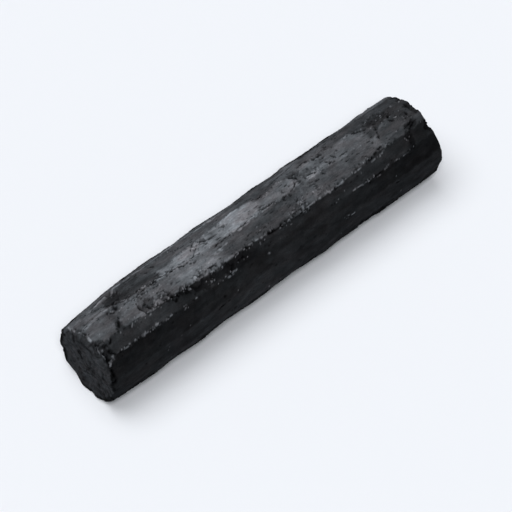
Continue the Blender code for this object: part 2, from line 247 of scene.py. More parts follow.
# Cracks: half width, depth, then points as place and degrees round
CRACKS = (
    (0.24, 0.3, ((7.7, 4), (7.1, 10), (6.8, 14))),
    (0.2, 0.3, ((6.2, 18), (5.7, 20))),
    (0.2, 0.2, ((4.4, 19), (3.5, 25))),
    (0.14, 0.2, ((6.6, -9), (7.7, -5))),
    (0.12, 0.2, ((11.7, 2), (11.8, 9), (11.9, 16))),
    (0.14, 0.2, ((5.4, -32), (6.9, -28), (7.9, -22), (8.6, -17))),
    (0.3, 0.25, ((10.2, -42), (11.4, -37))),
    (0.3, 0.2, ((9.9, -24), (8.5, -24))),
    (0.5, 0.2, ((8.5, -8), (9.0, -17))),
    (0.16, 0.15, ((18.8, -37), (19.5, -31))),
    (0.14, 0.12, ((16.9, -36), (17.6, -29))),
    (0.14, 0.2, ((10.1, -6), (12.8, -5), (15.0, -7), (17.4, -7))),
    (0.12, 0.2, ((24.9, -4), (25.6, -4), (26.2, -10), (27.0, -12), (27.5, -16))),
    (0.12, 0.2, ((25.9, -13), (26.9, -20), (28.0, -24))),
    (0.13, 0.2, ((27.9, -22), (29.0, -16), (30.0, -13), (31.9, -13))),
    (0.1, 0.15, ((20.1, -6), (21.9, -5), (23.3, -1), (24.4, 1))),
    (0.09, 0.15, ((29.6, 1), (31.1, -1), (33.3, 0))),
    (0.09, 0.18, ((35.2, -1), (38.7, -3), (41.4, -2), (43.4, -3))),
    (0.12, 0.2, ((45.7, 0), (47.7, -1), (48.8, -5), (49.8, -14))),
    (0.18, 0.3, ((49.4, -23), (50.2, -18), (50.3, -13))),
    (0.14, 0.15, ((41.8, -21), (43.6, -23))),
    (0.12, 0.15, ((23.8, -37), (24.8, -32), (26.6, -30))),
    (0.12, 0.18, ((45.5, -31), (48.0, -35), (51.2, -38))),
    (0.15, 0.2, ((52.0, -27), (53.9, -27), (55.2, -21), (56.8, -20))),
    (0.15, 0.2, ((64.2, -20), (65.5, -15))),
    (0.2, 0.35, ((61.9, 26), (63.7, 24), (65.0, 21), (66.4, 19))),
    (0.12, 0.22, ((68.2, -8), (67.5, 2), (67.0, 12))),
    (0.17, 0.15, ((52.2, -9), (53.6, -6))),
    (0.14, 0.15, ((52.5, 6), (53.2, 6))),
    (0.16, 0.15, ((54.5, 2), (54.8, 5))),
    (0.15, 0.15, ((56.4, -10), (57.3, -4))),
    (0.1, 0.12, ((59.3, -4), (60.9, -4))),
    (0.1, 0.12, ((59.4, 8), (60.3, 8))),
    (0.17, 0.25, ((72.1, 18), (73.9, 15), (74.2, 17))),
    (0.15, 0.2, ((71.0, -4), (71.6, 0))),
    (0.15, 0.2, ((75.1, -9), (76.0, -1))),
    (0.12, 0.2, ((60.6, 49), (63.2, 46), (63.8, 46))),
    (0.12, 0.12, ((24.2, 71), (26.0, 70), (26.7, 69))),
    (0.3, 0.4, ((1.2, 53), (1.1, 62), (1.0, 72))),
    (0.22, 0.3, ((0.9, -8), (1.1, -3))),
    (0.38, 0.5, ((1.3, 12), (1.6, 17))),
    (0.2, 0.3, ((1.6, 16), (2.7, 18))),
    (0.36, 0.4, ((1.8, 31), (1.9, 37), (1.6, 41))),
    (0.16, 0.2, ((2.7, 34), (3.2, 38), (4.2, 40))),
    (0.25, 0.25, ((2.8, 24), (2.9, 31))),
    (0.24, 0.25, ((19.6, 21), (18.4, 26), (17.7, 29))),
    (0.35, 0.3, ((17.6, 18), (17.9, 26))),
    (0.3, 0.2, ((13.0, 10), (13.3, 18))),
    (0.22, 0.3, ((38.8, 27), (39.9, 28), (41.0, 28), (42.6, 26))),
    (0.2, 0.2, ((23.6, 20), (24.6, 21))),
    (0.25, 0.25, ((26.0, 20), (27.6, 20))),
    (0.14, 0.15, ((58.2, -12), (58.5, -6))),
    (0.18, 0.2, ((56.8, -6), (56.8, -3))),
    (0.18, 0.2, ((51.6, -11), (52.9, -8))),
    (0.18, 0.15, ((73.9, 19), (73.0, 21), (72.4, 25))),
    (0.3, 0.35, ((75.7, -10), (76.0, -6))),
    (0.2, 0.25, ((74.4, 1), (74.3, 8))),
    (0.25, 0.2, ((71.7, -15), (71.4, -8))),
    (0.3, 0.25, ((12.0, -84), (16.5, -87), (21.4, -85))),
    (0.28, 0.3, ((55.2, -79), (60.1, -82), (66.8, -80))),
    (0.3, 0.3, ((34.1, -112), (40.6, -115), (45.9, -112))),
    (0.25, 0.25, ((24.0, -118), (28.3, -121))),
    (0.3, 0.25, ((61.7, -109), (70.2, -106), (72.5, -107))),
    (0.25, 0.2, ((5.3, -107), (10.1, -105))),
)

# Worn ridges, lighter partly as a painted highlight: half width, height, then points as place and
# degrees round
RIDGES = (
    (0.2, 0.05, ((0.2, -34), (0.4, -27), (0.5, -16), (0.7, -9))),
    (0.16, 0.05, ((1.0, 0), (1.0, 10))),
    (0.33, 0.1, ((1.5, 23), (1.8, 25))),
    (0.13, 0.05, ((1.2, 21), (1.2, 29), (1.4, 37))),
    (0.14, 0.1, ((1.1, 47), (1.9, 42), (2.7, 39))),
    (0.11, 0.06, ((2.2, 43), (2.9, 42))),
    (0.24, 0.04, ((4.8, -34), (8.7, -42), (12.6, -46), (19.9, -46), (24.5, -49), (30.8, -44), (36.7, -45))),
    (0.12, 0.05, ((30.0, 24), (31.9, 23), (33.0, 23))),
    (0.12, 0.05, ((34.5, 24), (36.3, 25), (38.6, 26))),
    (0.16, 0.05, ((28.7, 9), (30.2, 8), (31.9, 6))),
    (0.12, 0.05, ((29.0, 11), (30.9, 10))),
    (0.1, 0.04, ((35.1, 2), (38.6, 0), (42.3, 0))),
    (0.09, 0.04, ((45.8, 27), (49.6, 28), (53.4, 28), (56.3, 28))),
    (0.08, 0.04, ((58.8, 27), (60.7, 26))),
    (0.08, 0.06, ((62.8, 28), (64.7, 28), (66.2, 25), (67.3, 21))),
    (0.065, 0.05, ((56.8, 44), (57.8, 44), (59.3, 45), (60.6, 46))),
    (0.065, 0.05, ((61.2, 47), (63.0, 48))),
    (0.065, 0.05, ((64.2, 46), (65.5, 43))),
    (0.065, 0.05, ((66.1, 44), (67.9, 45))),
    (0.08, 0.05, ((68.8, 45), (70.1, 44), (71.0, 42))),
    (0.09, 0.06, ((70.8, 28), (71.3, 34))),
    (0.12, 0.03, ((33.5, -26), (35.8, -26), (38.0, -26))),
    (0.16, 0.08, ((37.1, 48), (37.3, 48))),
    (0.18, 0.08, ((12.3, 38), (12.7, 38))),
    (0.25, 0.08, ((9.2, 39), (9.9, 38))),
    (0.16, 0.08, ((23.0, 24), (23.4, 24))),
    (0.1, 0.05, ((13.7, 39), (14.8, 40), (15.7, 39))),
    (0.2, 0.06, ((55.8, 28), (56.1, 28))),
    (0.11, 0.06, ((72.2, -3), (72.4, -2))),
    (0.14, 0.04, ((37.2, -1), (38.6, -2), (40.4, -3))),
    (0.14, 0.04, ((28.2, 43), (29.4, 43), (30.4, 40))),
    (0.1, 0.05, ((53.8, 67), (54.5, 69))),
    (0.1, 0.05, ((54.9, 70), (55.5, 70))),
)
STROKE_REACH = 1.5  # in half widths
STROKE_WAVER = 0.16
STROKE_WAVER_SIZE = 0.45
STROKE_FILL = 0.85  # 1 for an unbroken crack or ridge, 0 for one that is gone
STROKE_GAPS = 1.3
STROKE_GAP_SIZE = 0.6
# Cracks are darkened by this share as painted shade.
CRACK_PAINTED_SHADE = 0.88

# How light each long face is: place, share. Partly the char's own colour, partly painted light:
# the split faces on top are lighter as a painted sheen, the faces turned down and away darker as
# painted shade. A face is named by the edge that starts it.
TONES = {
    "back_foot": ((0, 0.012), (77, 0.012)),
    "back_low": ((0, 0.020), (30, 0.024), (50, 0.017), (77, 0.022)),
    "back_middle": ((0, 0.018), (20, 0.015), (40, 0.021), (60, 0.016), (77, 0.020)),
    "back_high": (
        (0, 0.055), (38, 0.074), (40, 0.050), (50, 0.060), (51, 0.13), (53.5, 0.11), (54.5, 0.022),
        (57, 0.017), (59, 0.050), (77, 0.10),
    ),
    "back_brow": (
        (0, 0.084), (8.5, 0.068), (9.1, 0.049), (12, 0.037), (17, 0.046), (20, 0.061), (26, 0.077),
        (40, 0.048), (50, 0.079), (57, 0.065), (65, 0.035), (70, 0.043), (73, 0.031), (77, 0.032),
    ),
    "back_crest": (
        (0, 0.059), (6, 0.093), (7.2, 0.085), (7.7, 0.027), (10.2, 0.023), (12, 0.027), (15, 0.037),
        (18.2, 0.034), (19.6, 0.14), (28, 0.16), (31, 0.11), (34, 0.23), (42, 0.10), (49.2, 0.12),
        (50.2, 0.061), (52, 0.14), (56, 0.088), (65.3, 0.083), (66.3, 0.041), (69.5, 0.062),
        (72.5, 0.027), (77, 0.035),
    ),
    "crest": (
        (0, 0.089), (6.3, 0.067), (7.1, 0.039), (7.8, 0.061), (11.8, 0.090), (12.1, 0.067),
        (14.4, 0.074), (15, 0.093), (19, 0.085), (22, 0.12), (28, 0.14), (30, 0.069), (34, 0.055),
        (39, 0.042), (46, 0.041), (50, 0.073), (60, 0.049), (66.5, 0.076), (67.5, 0.050), (71, 0.043),
        (73, 0.031), (77, 0.034),
    ),
    "brow": (
        (0, 0.040), (4, 0.028), (9, 0.018), (10, 0.025), (14, 0.026), (20, 0.0091), (23, 0.013),
        (25, 0.023), (27.5, 0.024), (30, 0.0081), (34, 0.0080), (37, 0.018), (46, 0.015), (53, 0.016),
        (57, 0.021), (60, 0.021), (70.5, 0.015), (71.2, 0.0086), (77, 0.012),
    ),
    "cheek": (
        (0, 0.0089), (5, 0.0085), (10, 0.0075), (18, 0.0095), (22, 0.011), (50, 0.013), (60, 0.011),
        (64, 0.0069), (77, 0.0068),
    ),
    "front_high": (
        (0, 0.011), (7, 0.015), (12, 0.012), (20, 0.017), (33, 0.021), (40, 0.016), (44, 0.012),
        (52, 0.016), (60, 0.014), (77, 0.013),
    ),
    "front_middle": ((0, 0.015), (30, 0.021), (50, 0.015), (77, 0.015)),
    "front_low": ((0, 0.011), (30, 0.014), (77, 0.011)),
    "front_under": ((0, 0.010), (77, 0.010)),
    "front_foot": ((0, 0.012), (77, 0.012)),
}
TONE_BLEND = 0.35  # mm over which one face's tone passes into the next
TONE_RAGGED = 0.35  # how far the border between two tones wanders
TONE_RAGGED_SIZE = 0.9
TONE_DRIFT = 0.3
TONE_DRIFT_SIZE = (7.0, 2.0)
TONE_DRIFT_FROM = 90.0  # mm along, so that its waves aren't those of the surface
TONE_MOTTLE = 0.3
TONE_MOTTLE_SIZE = (1.6, 0.9)
TONE_MOTTLE_FROM = 50.0
SCALE_TONE = 0.16
FIBRE_TONE = 0.22  # how much lighter the lightest fibres are
FIBRE_TONE_SIZE = (1.1, 0.24)
FIBRE_TONE_LEVEL = 0.22  # noise level at which a fibre is lightest
# Flakes are darker, partly soot and partly painted shade.
FLAKE_SOOT_AND_SHADE = 0.5  # how much of its tone a face keeps in a flake
BROKEN_DEPTH = 0.2  # of a flake from which it is as dark as that
# Lighter and darker shades on the side: half width, factor of the tone, then points as place
# and degrees round
SIDE_MARKS = (
    (0.3, 1.55, ((1.9, -10), (3.7, -11.6), (5.4, -13), (7.1, -14.3), (8.3, -15))),
    (0.16, 0.6, ((2.4, -15), (4.4, -18), (6.4, -20))),
)
# Bands of painted shade along the stick, high at the back and low at the front: middle and half
# width in degrees round
SHADE_BANDS = ((-68.0, 10.0), (118.0, 14.0))
PAINTED_SHADE = 0.78
SHADE_WANDER = 9.0
SHADE_WANDER_SIZE = 1.6
RIM_SHADE_FROM = (-50.0, 100.0)  # degrees round beyond which the rims of the ends get painted shade too
RIM_SHADE_WIDTH = 0.55
SHADE_REACH = 1.5  # in half widths
# Where the broken end face gives way to the side: degrees round, place
NEAR_RIM = (
    (-180, 0.1), (-40, 0.0), (-22, 0.2), (-12, 0.3), (-6, 0.65), (3, 0.8), (11, 0.85), (33, 1.1),
    (42, 0.9), (49, 0.7), (58, 0.5), (66, 0.35), (77, 0.1), (180, 0.1),
)
NEAR_RIM_WANDER = 0.25
NEAR_RIM_WANDER_SIZE = 0.6
NEAR_RIM_BLEND = 0.2
END_TONE = 0.0285
END_TONE_WAVES = ((0.45, 2.2), (0.55, 0.8), (0.55, 0.4))  # strength and size
END_PITS = 0.6  # how dark the pits in an end face are
END_PIT_SIZE = 1.1
END_PIT_LEVEL = 0.3  # noise level where pits start
END_PIT_SLOPE = 3.0
END_STEP = 0.11
END_STEP_SIZE = 1.3
END_STEP_EDGE = 0.12
END_GRIT = 0.17
END_GRIT_SIZE = 0.6
END_GRIT_FADE = 1 / 12  # share of the radius over which the grit fades towards the rim
# Marks on the near end face: half width, factor of the tone, then points as distances to the
# back and up from the axis
END_MARKS = (
    (0.45, 0.3, ((3.0, 6.6), (2.3, 5.2))),
    (1.1, 0.6, ((1.2, 7.0), (-2.4, 6.8))),
    (0.22, 0.5, ((0.2, 8.0), (0.3, 6.4))),
    (0.14, 1.7, ((4.9, 3.4), (3.8, 3.5), (2.7, 3.3), (1.0, 3.6))),
    (0.22, 0.25, ((3.8, 2.7), (3.4, 2.8))),
    (0.25, 0.35, ((1.1, 3.5), (0.9, 2.6))),
    (0.5, 0.2, ((1.4, 2.4), (0.6, 1.7))),
    (0.17, 0.35, ((-0.3, -0.8), (-1.2, 0.0), (-2.1, 1.8), (-1.9, 3.2))),
    (0.15, 0.4, ((0.1, -2.2), (-0.9, -0.7))),
    (0.2, 0.35, ((-2.4, 1.4), (-2.5, 0.0), (-2.7, -1.0))),
    (0.7, 0.65, ((0.5, -4.0), (0.9, -6.2))),
    (0.3, 0.4, ((-3.8, -1.7), (-4.0, -2.8))),
    (0.5, 0.5, ((-3.4, -4.2), (-4.7, -4.2))),
    (0.4, 1.4, ((-5.3, -0.2), (-6.0, -1.3), (-6.5, -2.3))),
    (0.25, 1.4, ((-7.1, 3.7), (-7.3, 1.2))),
    (0.5, 1.25, ((-5.6, 4.7), (-6.4, 4.7))),
    (0.22, 0.35, ((-5.2, 3.3), (-5.4, 2.2))),
    (1.1, 1.2, ((-3.8, 7.1), (-4.0, 5.0))),
    (1.0, 1.15, ((2.9, 1.3), (2.0, -1.5), (0.4, -2.9))),
    (0.2, 0.3, ((-6.4, 1.2), (-6.7, 1.2))),
)

# Variations too fine for the points, as factors of the tone: lengths of their waves along,
# across and up, how many finer waves they have on them, and the lowest and highest factor
VARIATIONS = {
    "streaks": ((1.5, 0.25, 0.25), 4.0, 0.92, 1.08),
    "patches": ((2.4, 1.3, 1.3), 3.0, 0.84, 1.16),
    "mottling": ((0.34, 0.26, 0.26), 3.0, 0.84, 1.17),
}
VARIATION_LEVELS = (0.3, 0.7)  # noise levels that give the lowest and highest factor
NOISE_ROUGHNESS = 0.6
TINT_SIZE = (5.0, 2.0, 2.0)
TINT_DETAIL = 2.0
TINT_LEVELS = (0.42, 0.62)  # noise levels of the cool and the warm tint
COOL_TINT = (0.925, 1.0, 1.1)
WARM_TINT = (0.985, 0.988, 1.07)
GLOSS = 0.006
BURNISHED_TONE = 0.15  # the tone that is as smooth as the char gets
DULL_ROUGHNESS = 0.7
BURNISHED_ROUGHNESS = 0.5
BUMP_SIZE = (0.42, 0.28, 0.28)
BUMP_DETAIL = 4.0
BUMP_HEIGHT = 0.09
BUMP_STRENGTH = 0.75

# The camera, at the photograph's viewing angle
AZIMUTH = -40.65
ELEVATION = 56.0
DISTANCE = 0.554
IMAGE_PIXELS = 512
FOCAL_PIXELS = 3130.0
SENSOR = 36.0
FARTHEST_SEEN = 10.0  # m
MIDDLE_PIXEL = (252.76, 245.27)  # where the middle of the stick's axis shows

# The light: direction from the stick to each broad lamp, strength, and how many degrees wide it is
LAMPS = {
    "front": ((-0.338, -0.45, 1.0), 1.67, 20.0),
    "back": ((-0.198, 0.232, 1.0), 1.89, 48.0),
}
SKY_COLOUR = (0.93, 0.96, 1.0)
SKY_OVERHEAD = 0.05
SKY_AT_HORIZON = 0.8
HORIZON_BAND = 0.25  # how high the brighter band reaches, 1 being straight up
FLOOR_COLOUR = (0.815, 0.838, 0.88)
FLOOR_ROUGHNESS = 0.95
FLOOR_SIDE = 3.0  # m


def smooth(t):
    """Eases t from 0 to 1."""
    t = min(max(t, 0.0), 1.0)
    return t * t * (3.0 - 2.0 * t)


def mix(low, high, t):
    """The value at t, from low at 0 to high at 1."""
    return low + (high - low) * t


def passing(level, width):
    """Eases from 0 to 1 as a level passes zero, over this width."""
    return smooth(0.5 + level / width)


def wave(where, size):
    """Noise drawn out along the stick. size holds the lengths of a wave along and across it."""
    along, across = size
    return noise.noise(Vector((where.x / along, where.y / across, where.z / across)))


def bell(t):
    """1 where t is zero, falling off smoothly on either side."""
    return math.exp(-t * t)


def traced(trace, place):
    """The values of a trace at this place, between its nearest two points."""
    for before, after in zip(trace, trace[1:]):
        if place <= after[0]:
            t = (place - before[0]) / (after[0] - before[0])
            return tuple(mix(low, high, t) for low, high in zip(before[1:], after[1:]))
    return trace[-1][1:]


@lru_cache(maxsize=None)
def corners_at(place):
    """The corners of the stick's many-sided section, closed with the first one again."""
    corners = [traced(trace, place) for trace in EDGES.values()]
    first_angle, first_radius = corners[0]
    return corners + [(first_angle + FULL_TURN, first_radius)]


@lru_cache(maxsize=None)
def crumbled_at(place):
    """Reach and amount of the crumbs at each long edge, closed with the first edge again."""
    found = []
    for name in EDGES:
        reach, trace = CRUMBLED.get(name, WHOLE_EDGE)
        found.append((reach, traced(trace, place)[0]))
    return found + found[:1]


@lru_cache(maxsize=None)
def tones_at(place):
    """The tone of each long face at this place."""
    return [traced(trace, place)[0] for trace in TONES.values()]


def face_radius(start, end, angle):
    """Distance from the axis to the face between two corners, before any wear."""
    (a0, r0), (a1, r1) = start, end
    across = r0 * math.sin(math.radians(angle - a0)) + r1 * math.sin(math.radians(a1 - angle))
    flat = r0 * r1 * math.sin(math.radians(a1 - a0)) / across
    rounded = mix(r0, r1, (angle - a0) / (a1 - a0))
    from_front = abs(angle - FRONT_SIDE) / FRONT_REACH
    return mix(flat, rounded, mix(FRONT_ROUNDING, EDGE_ROUNDING, smooth(from_front)))


def point_at(place, angle, radius):
    """A point with the stick's axis on X and its near end at zero."""
    turn = math.radians(angle)
    return Vector((place, -radius * math.sin(turn), radius * math.cos(turn)))


def turn_of(point):
    """The angle at which a point lies round the axis."""
    return math.degrees(math.atan2(-point.y, point.z))


def turned(angle):
    """The same angle between half a turn back and half a turn on."""
    return (angle + FULL_TURN / 2) % FULL_TURN - FULL_TURN / 2


def round_mm(angle, other):
    """The distance round the stick between two angles."""
    return math.radians(turned(angle - other)) * RADIUS


@lru_cache(maxsize=None)
def flakes_at(place):
    """The flakes that come near this place."""
    return [flake for flake in FLAKES.values() if abs(place - flake[0]) < FLAKE_MARGIN * flake[2]]


@lru_cache(maxsize=None)
def patches_at(place):
    """The patches of crumbs that come near this place."""
    return [patch for patch in CRUMB_PATCHES if abs(place - patch[0]) < CRUMB_PATCH_MARGIN * patch[2]]


@lru_cache(maxsize=None)
def strokes_at(strokes, place):
    """Those of the cracks or ridges that come near this place."""
    near = []
    for stroke in strokes:
        half_width, _, points = stroke
        places = [point[0] for point in points]
        margin = STROKE_REACH * half_width + STROKE_WAVER
        if min(places) - margin < place < max(places) + margin:
            near.append(stroke)
    return near


def flake_depth(place, angle, where):
    """How far the flakes cut in here."""
    wobble = FLAKE_WOBBLE * noise.noise(where / FLAKE_WOBBLE_SIZE)
    wobble += FLAKE_RAGGED * noise.noise(where / FLAKE_RAGGED_SIZE)
    depth = 0.0
    for centre, centre_angle, half_length, half_width, deepest in flakes_at(place):
        away = math.hypot((place - centre) / half_length, round_mm(angle, centre_angle) / half_width)
        depth = max(depth, deepest * smooth((1.0 - away + wobble) / FLAKE_WALL))
    return depth


def distance_to(line):
    """The distance from the origin to the nearest straight piece of a line."""
    nearest = math.inf
    for start, end in zip(line, line[1:]):
        step = end - start
        share = min(max(-start.dot(step) / step.length_squared, 0.0), 1.0)
        nearest = min(nearest, (start + step * share).length)
    return nearest


def line_from(place, angle, points):
    """The points of a stroke as distances along and round the stick from this place and angle."""
    return [Vector((spot - place, round_mm(spot_angle, angle))) for spot, spot_angle in points]


def stroke_size(strokes, place, angle, where):
    """How deep the cracks, or how high the ridges, are here, and how near their middle this is."""
    size, nearness = 0.0, 0.0
    near = strokes_at(strokes, place)
    if near:
        waver = STROKE_WAVER * noise.noise(where / STROKE_WAVER_SIZE)
        kept = smooth(STROKE_FILL + STROKE_GAPS * noise.noise(where / STROKE_GAP_SIZE))
        for half_width, most, points in near:
            away = distance_to(line_from(place, angle, points)) + waver
            within = kept * smooth(STROKE_REACH - away / half_width)
            size, nearness = max(size, most * within), max(nearness, within)
    return size, nearness


def mark_factor(marks, where):
    """By what factor marks change the tone here. Each is a half width, a factor and a line."""
    change = 1.0
    waver = STROKE_WAVER * noise.noise(where / STROKE_WAVER_SIZE)
    for half_width, factor, line in marks:
        change *= mix(1.0, factor, smooth(STROKE_REACH - (distance_to(line) + waver) / half_width))
    return change


def end_mark(point):
    """By what factor the marks on the near end face change its tone."""
    marks = []
    for half_width, factor, spots in END_MARKS:
        line = [Vector((across - point.y, up - point.z)) for across, up in spots]
        marks.append((half_width, factor, line))
    return mark_factor(marks, point)


def side_mark(place, angle, where):
    """By what factor the lighter and darker shades change the side's tone."""
    marks = []
    for half_width, factor, points in strokes_at(SIDE_MARKS, place):
        marks.append((half_width, factor, line_from(place, angle, points)))
    return mark_factor(marks, where)


def shoulder_cut(place):
    """How far the rounded rim of an end lies inside the side of the stick."""
    for shoulder, inwards in ((NEAR_SHOULDER, place), (FAR_SHOULDER, LENGTH - place)):
        if inwards < shoulder:
            return shoulder - math.sqrt(shoulder**2 - (shoulder - inwards) ** 2)
    return 0.0


def end_shift(place, point):
    """How far along X the unevenness of the nearer end moves a point of the surface."""
    inwards = min(place, LENGTH - place)
    level = END_RELIEF_LEVEL + noise.noise(point / END_RELIEF_SIZE)
    sunk = END_RELIEF * min(max(level, 0.0), 1.0) * max(1.0 - inwards / END_RELIEF_REACH, 0.0)
    return sunk if place < LENGTH / 2 else -sunk


def crumb_density(place, face, angle, where):
    """How crumbled the surface is here: 1 where crumbs lie side by side."""
    (a0, _), (a1, _) = corners_at(place)[face : face + 2]
    (reach0, amount0), (reach1, amount1) = crumbled_at(place)[face : face + 2]
    wander = CRUMB_WANDER * noise.noise(where / CRUMB_WANDER_SIZE)
    density = max(
        amount0 * bell((round_mm(angle, a0) + wander) / reach0),
        amount1 * bell((round_mm(angle, a1) + wander) / reach1),
    )
    for centre, centre_angle, half_length, half_width, amount in patches_at(place):
        across = round_mm(angle, centre_angle) + wander
        away = math.hypot((place - centre) / half_length, across / half_width)
        density = max(density, amount * bell(away))
    return density * (1.0 + CRUMB_GATHERING * noise.noise(where / CRUMB_GATHERING_SIZE))


def crumbs(density, tone, where):
    """How much of a raised crumb, and how much of a pit, is here. The darkest faces have few pores."""
    level = wave(where, CRUMB_SIZE)
    bare = CRUMB_THINNING * (1.0 - density)
    crumb = smooth((level - CRUMB_SHARE - bare) / CRUMB_EDGE)
    pit = smooth((-level - PIT_SHARE - bare) / CRUMB_EDGE)
    porous = PORE_AMOUNT * (1.0 + PORE_GATHERING * noise.noise(where / PORE_GATHERING_SIZE))
    porous *= smooth(tone / OPEN_TONE)
    pore = smooth((wave(where, PORE_SIZE) - PIT_SHARE - CRUMB_THINNING * (1.0 - porous)) / CRUMB_EDGE)
    return crumb, max(pit, pore)


def rim_shade(angle, inwards):
    """How much painted shade the surface has, this far inwards from the rim of the nearer end."""
    if RIM_SHADE_FROM[0] < turned(angle) < RIM_SHADE_FROM[1]:
        return 0.0
    return smooth(SHADE_REACH - inwards / RIM_SHADE_WIDTH)


def band_shade(angle, where):
    """How much painted shade the side has in the bands along it."""
    angle = turned(angle + SHADE_WANDER * noise.noise(where / SHADE_WANDER_SIZE))
    return max(smooth(SHADE_REACH - abs(angle - middle) / half_width) for middle, half_width in SHADE_BANDS)


def face_tone(place, face, angle, where):
    """The face's tone, passing into that of the face beyond the nearer edge."""
    (a0, _), (a1, _) = corners_at(place)[face : face + 2]
    wander = TONE_RAGGED * noise.noise(where / TONE_RAGGED_SIZE)
    tones = tones_at(place + wander)
    from_start = round_mm(angle, a0) + wander
    from_end = round_mm(a1, angle) - wander
    if from_start < from_end:
        other, away = tones[face - 1], from_start
    else:
        other, away = tones[(face + 1) % len(tones)], from_end
    return mix(other, tones[face], passing(away, TONE_BLEND))


def face_relief(where):
    """How far swells, plates, grain and fibres lift a face, and the level of its small plates."""
    small_plate = passing(wave(where, SCALE_SIZE), SCALE_EDGE) - 0.5
    relief = SWELL * wave(where, SWELL_SIZE)
    relief += GRAIN * wave(where, GRAIN_SIZE)
    relief += PLATE_STEP * (passing(wave(where, PLATE_SIZE), PLATE_EDGE) - 0.5)
    relief += SCALE_STEP * small_plate
    relief += FIBRE * wave(where, FIBRE_SIZE)
    relief += ROUGHNESS * noise.noise(where / ROUGHNESS_SIZE)
    return relief, small_plate


def varied_tone(tone, small_plate, where):
    """A face's tone with its drift, mottling, small plates and light fibres."""
    tone *= 1.0 + TONE_DRIFT * wave(where + Vector((TONE_DRIFT_FROM, 0, 0)), TONE_DRIFT_SIZE)
    tone *= 1.0 + TONE_MOTTLE * wave(where + Vector((TONE_MOTTLE_FROM, 0, 0)), TONE_MOTTLE_SIZE)
    tone *= 1.0 + SCALE_TONE * small_plate
    fibre = smooth(wave(where, FIBRE_TONE_SIZE) / FIBRE_TONE_LEVEL)
    return tone * (1.0 + FIBRE_TONE * fibre * smooth(tone / OPEN_TONE))


def past_near_rim(place, angle, where):
    """0 where the near end's broken face still shows, 1 on the side past its ragged border."""
    wander = NEAR_RIM_WANDER * noise.noise(where / NEAR_RIM_WANDER_SIZE)
    return passing(place + wander - traced(NEAR_RIM, turned(angle))[0], NEAR_RIM_BLEND)


@lru_cache(maxsize=None)
def side_point(place, face, share):
    """A point on the side, and how light the surface is there, painted sheen and shade included."""
    start, end = corners_at(place)[face : face + 2]
    angle = mix(start[0], end[0], share)
    radius = face_radius(start, end, angle)
    where = point_at(place, angle, radius)
    relief, small_plate = face_relief(where)
    broken = flake_depth(place, angle, where)
    cracked, in_crack = stroke_size(CRACKS, place, angle, where)
    raised, on_ridge = stroke_size(RIDGES, place, angle, where)
    tone = face_tone(place, face, angle, where)
    crumb, pit = crumbs(crumb_density(place, face, angle, where), tone, where)
    radius += relief - broken - cracked - shoulder_cut(place)
    radius += raised + CRUMB_HEIGHT * crumb - PIT_DEPTH * pit

    tone = varied_tone(tone, small_plate, where)
    # Flakes are darker, partly soot and partly painted shade.
    tone *= mix(1.0, FLAKE_SOOT_AND_SHADE, smooth(broken / BROKEN_DEPTH)) * side_mark(place, angle, where)
    # Crumbs and ridges are lighter, partly wear and partly a painted highlight; pits, pores and cracks are
    # darker as painted shade.
    wear_and_highlight_tone = tone + mix(*WEAR_AND_HIGHLIGHT_TONES, smooth(0.5 + noise.noise(where / WEAR_AND_HIGHLIGHT_SIZE)))
    tone = mix(tone, wear_and_highlight_tone, crumb) * (1.0 - PIT_PAINTED_SHADE * pit)
    tone = mix(end_tone(where), tone, past_near_rim(place, angle, where))
    tone = mix(tone, wear_and_highlight_tone, on_ridge) * (1.0 - CRACK_PAINTED_SHADE * in_crack)
    # Painted shade in the bands along the stick and at the rims of the ends.
    tone *= 1.0 - PAINTED_SHADE * max(band_shade(angle, where), rim_shade(angle, min(place, LENGTH - place)))

    point = point_at(place, angle, radius)
    point.z = max(point.z, -FLAT_BELOW_AXIS)
    return point, tone


def end_tone(point):
    """How much light the broken face of an end gives back."""
    tone = END_TONE * (1.0 + sum(strength * noise.noise(point / size) for strength, size in END_TONE_WAVES))
    in_pit = smooth(END_PIT_SLOPE * (noise.noise(point / END_PIT_SIZE) - END_PIT_LEVEL))
    return tone * (1.0 - END_PITS * in_pit)


def end_grit(point, reach):
    """How far small steps and grit sink an end face: not at all at its rim."""
    step = passing(noise.noise(point / END_STEP_SIZE), END_STEP_EDGE) - 0.5
    grit = END_STEP * step + END_GRIT * noise.noise(point / END_GRIT_SIZE)
    return abs(grit) * smooth((1.0 - reach) / END_GRIT_FADE)


def surface_point(place, face, share, reach):
    """A point of the surface: reach is 1 on the side, and falls to 0 in the middle of an end face."""
    side, tone = side_point(place, face, share)
    point = Vector((place, side.y * reach, side.z * reach))
    shift = end_shift(place, point)
    if reach < 1.0:
        # Painted shade at the rim of the end face too.
        tone = end_tone(point) * (1.0 - PAINTED_SHADE * rim_shade(turn_of(point), (1.0 - reach) * RADIUS))
        if place < LENGTH / 2:
            tone *= end_mark(point)
        shift += math.copysign(end_grit(point, reach), LENGTH / 2 - place)
    point.x += shift
    return point, tone


def columns_per_face():
    """How many columns of points each long face has."""
    middle = corners_at(LENGTH / 2)
    counts = []
    for (start, _), (end, _) in zip(middle, middle[1:]):
        seen = HIDDEN_FROM[0] < (start + end) / 2 < HIDDEN_FROM[1]
        counts.append(max(FEWEST_COLUMNS, round((end - start) / (UPPER_COLUMN if seen else LOWER_COLUMN))))
    return counts


def ring_places():
    """Places of the rings of points along the side: close together on the rounded rims."""
    turns = [math.pi / 2 * k / SHOULDER_RINGS for k in range(SHOULDER_RINGS + 1)]
    near = [NEAR_SHOULDER * (1.0 - math.cos(turn)) for turn in turns]
    far = [LENGTH - FAR_SHOULDER * (1.0 - math.cos(turn)) for turn in reversed(turns)]
    body = far[0] - near[-1]
    count = round(body / RING_SPACING)
    return near + [near[-1] + body * k / count for k in range(1, count)] + far


